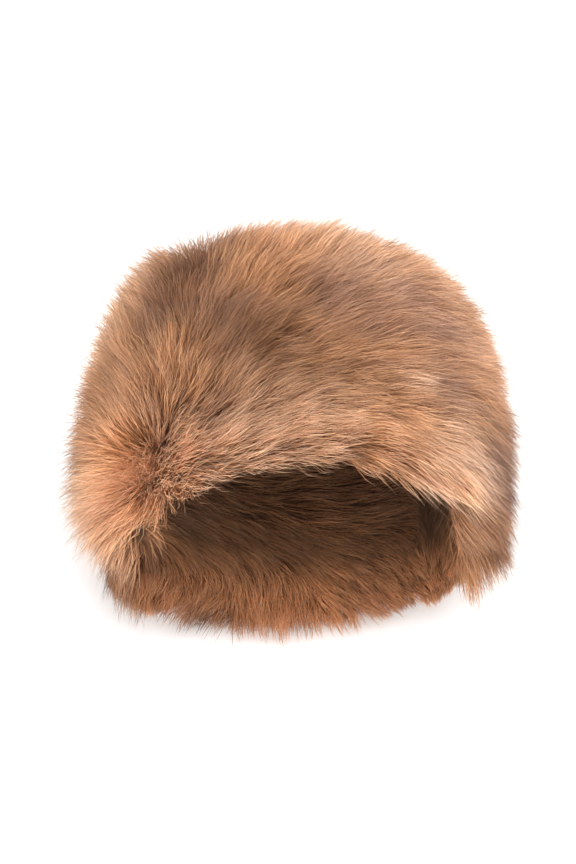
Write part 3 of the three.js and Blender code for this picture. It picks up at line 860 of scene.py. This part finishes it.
outer_pile("band_pile_top", BAND_HAIRS, RIM_S, seam_s, on_top, ["side_band"], 11)
outer_pile("band_pile_left", BAND_HAIRS, RIM_S, seam_s, on_left, ["side_band"], 12)
outer_pile("band_pile_right", BAND_HAIRS, RIM_S, seam_s, on_right, ["side_band"], 13)
outer_pile("crown_pile", CROWN_HAIRS, seam_s, POLE_S, everywhere, ["crown_panel"], 14)

# %% [markdown]
# ## The pile inside
# The lining's pile is shorter and redder, and it lies closer. A mirrored copy of the outer pile could
# stand in for it, but its nap runs another way. So it is grown as the outer pile is, into the hollow.
# Its lower lip reaches out over the rim. Its colour is painted darker toward the closed end and on
# the upper wall: painted shade, where the hat shades itself.

# %% Inner pile
INNER_LENGTH, INNER_SPREAD, INNER_WIDTHS = 27.0, (0.75, 1.1), (0.24, 0.45)
INNER_ROOT_RISE, INNER_TIP_RISE, INNER_WAVE = (0.62, 0.10), (0.10, 0.09), 0.2
INNER_LARGE_LOCK, INNER_SMALL_LOCK, INNER_BEND = (150, 0.3), (10, 0.5), 1.2
INNER_FOLD_S, INNER_LAST_S = 0.04, 0.99
# in mm: how high the lower wall reaches, and how far back the painted shade in the hollow deepens
LOWER_WALL, DARK_DEPTH = 45.0, 80.0


def toward_rim(p, n):
    """Denser pile on the lower wall and near the rim, where it shows."""
    return 1 + 1.2 * (p[..., 1] < SHIFT[1] + 60) * (p[..., 2] < 60)


def inner_pile(name, count, seed):
    """The lining's pile, from its roots to a finished piece."""
    rng = np.random.default_rng(seed)
    s, a = scatter(count, -INNER_FOLD_S, INNER_LAST_S, toward_rim, rng)
    p, n = skin(np.maximum(s, 0), a)
    turn = np.clip(-s / INNER_FOLD_S, 0, 1) * 0.5 * np.pi
    out = unit(-n * np.cos(turn)[:, None] + AHEAD * np.sin(turn)[:, None])
    roots = p - n * (BACKING + GAP + LINING)
    lower = np.clip(1.1 - (roots[:, 2] - LIFT) / LOWER_WALL, 0, 1)
    deep = np.clip((roots[:, 1] - SHIFT[1]) / DARK_DEPTH, 0, 1)
    lip, edge = lower * np.clip(1 - deep * 3, 0, 1), lower * np.clip(1 - deep * 7, 0, 1)
    beside = np.clip(roots[:, 0] / 30.0 - 1.6, 0, 1) * (1 - 0.5 * lip) * np.clip(1.3 - deep * 2, 0, 1)
    _, painted_patch_shade, dark, _ = patches_at(roots)
    guard = rng.uniform(0.4, 0.9, count) * (rng.random(count) < 0.08 + 0.6 * dark * lip)
    length = INNER_LENGTH * rng.uniform(*INNER_SPREAD, count) * (1 - 0.55 * beside)
    length *= 1 + lip * np.clip(0.13 - roots[:, 0] / 195.0, -0.15, 0.48)
    rise = np.stack([rng.normal(*INNER_ROOT_RISE, count), rng.normal(*INNER_TIP_RISE, count)], -1)
    rise *= (1 - 0.5 * beside)[:, None] * (0.75 + 0.25 * lip)[:, None]
    hairs = grow(roots, out, length, rise, field_in, rng, np.full(count, INNER_WAVE))
    hairs, _ = clump(hairs, INNER_LARGE_LOCK, 1, rng, INNER_BEND)
    hairs, lock = clump(hairs, INNER_SMALL_LOCK, 1, rng)
    tone = 0.5 + uneven(0.15, 0.14, lock, rng)
    mauve = 0.3 * edge + 0.2 * rng.normal(size=count)[lock]
    # painted shade: darker deeper in the hollow, on the upper wall and in the shade patches; the lip's
    # edge a little darker, the right wall a little lighter
    painted_hollow_shade = 1 - fade(deep - 0.2, 0.4)
    shade = (0.2 + 0.52 * painted_hollow_shade + 0.37 * (1 - lower) * np.clip(deep * 6, 0, 1)
             + 0.7 * painted_patch_shade + 0.2 * edge - 0.1 * beside)
    values = {"tone": tone.clip(0, 1), "guard": guard, "pale": np.zeros(count),
              "shade": shade.clip(0, 1), "mauve": mauve.clip(0, 1)}
    width = rng.uniform(*INNER_WIDTHS, count)
    ribbons(name, hairs, out, width, values, inner_hair, ["fur_lining"], rng)


# %% Growing the inner pile
INNER_HAIRS = 38000
inner_pile("lining_pile_hairs", INNER_HAIRS, 21)

# %% [markdown]
# ## Floor and light
# The photograph is a studio shot on white, with soft shadows that hardly show. A floor that only
# catches shadows could be used, but it would lose the light that bounces up under the hat. So a
# white floor glows faintly, under three large soft lamps and a white surround.

# %% The floor
FLOOR_HALF, FLOOR_GLOW, FLOOR_ROUGHNESS = 6, 0.1, 0.9
corners = [(-FLOOR_HALF, -FLOOR_HALF, 0), (FLOOR_HALF, -FLOOR_HALF, 0),
           (FLOOR_HALF, FLOOR_HALF, 0), (-FLOOR_HALF, FLOOR_HALF, 0)]
floor_mesh = bpy.data.meshes.new("floor")
floor_mesh.from_pydata(corners, [], [(0, 1, 2, 3)])
floor = bpy.data.objects.new("floor", floor_mesh)
bpy.context.collection.objects.link(floor)
paper = bpy.data.materials.new("Pale paper")
paper.use_nodes = True
sheet = paper.node_tree.nodes["Principled BSDF"]
sheet.inputs["Base Color"].default_value = (1.0, 1.0, 1.0, 1)
sheet.inputs["Roughness"].default_value = FLOOR_ROUGHNESS
sheet.inputs["Emission Color"].default_value = (1, 1, 1, 1)
sheet.inputs["Emission Strength"].default_value = FLOOR_GLOW
floor.data.materials.append(paper)
print("floor", 2 * FLOOR_HALF, "m wide")

# %% Lamps and surround
# columns: name, place, what it points at, size in m, power in W
LAMPS = [
    ("key", (0.9, -0.7, 1.5), (0, 0, 0.08), 2.0, 20),
    ("fill", (-1.3, -0.9, 1.2), (0, 0, 0.08), 2.0, 9),
    ("over", (0.2, 0.3, 1.9), (0, 0, 0.1), 2.2, 18)]
SURROUND = 0.97

for name, spot, aim, size, power in LAMPS:
    light = bpy.data.lights.new(name, "AREA")
    light.energy, light.size = power, size
    lamp = bpy.data.objects.new(name, light)
    lamp.location = spot
    lamp.rotation_euler = (Vector(aim) - Vector(spot)).to_track_quat("-Z", "Y").to_euler()
    bpy.context.collection.objects.link(lamp)
world = bpy.data.worlds.new("studio")
world.use_nodes = True
world.node_tree.nodes["Background"].inputs[0].default_value = (1, 1, 1, 1)
world.node_tree.nodes["Background"].inputs[1].default_value = SURROUND
bpy.context.scene.world = world
bpy.context.scene.view_settings.view_transform = "Standard"
print("lamps", len(LAMPS))

# %% [markdown]
# ## The camera
# The photograph looks down into the hat at about 52 degrees, from far enough away that the near side
# is hardly larger. The camera could be fitted by eye. Its lens is worked out instead from how many
# millimetres of the hat one pixel of the photograph shows, so that both pictures have one scale.

# %% Camera
ELEVATION, DISTANCE = math.radians(52), 1.4
AIM = Vector((-0.001, 0.004, 0.060))
SENSOR, PHOTO_HEIGHT, MM_A_PIXEL, HAT_ROW = 36, 864, 0.587, 456
camera = bpy.data.objects.new("camera", bpy.data.cameras.new("camera"))
camera.location = AIM + DISTANCE * Vector((0, -math.cos(ELEVATION), math.sin(ELEVATION)))
camera.rotation_euler = (AIM - camera.location).to_track_quat("-Z", "Y").to_euler()
camera.data.sensor_fit = "VERTICAL"
camera.data.sensor_height = SENSOR
camera.data.lens = SENSOR * DISTANCE / (PHOTO_HEIGHT * MM_A_PIXEL * MM)
camera.data.shift_y = (HAT_ROW - PHOTO_HEIGHT / 2) / PHOTO_HEIGHT
bpy.context.collection.objects.link(camera)
bpy.context.scene.camera = camera
print("lens", round(camera.data.lens, 1), "mm")
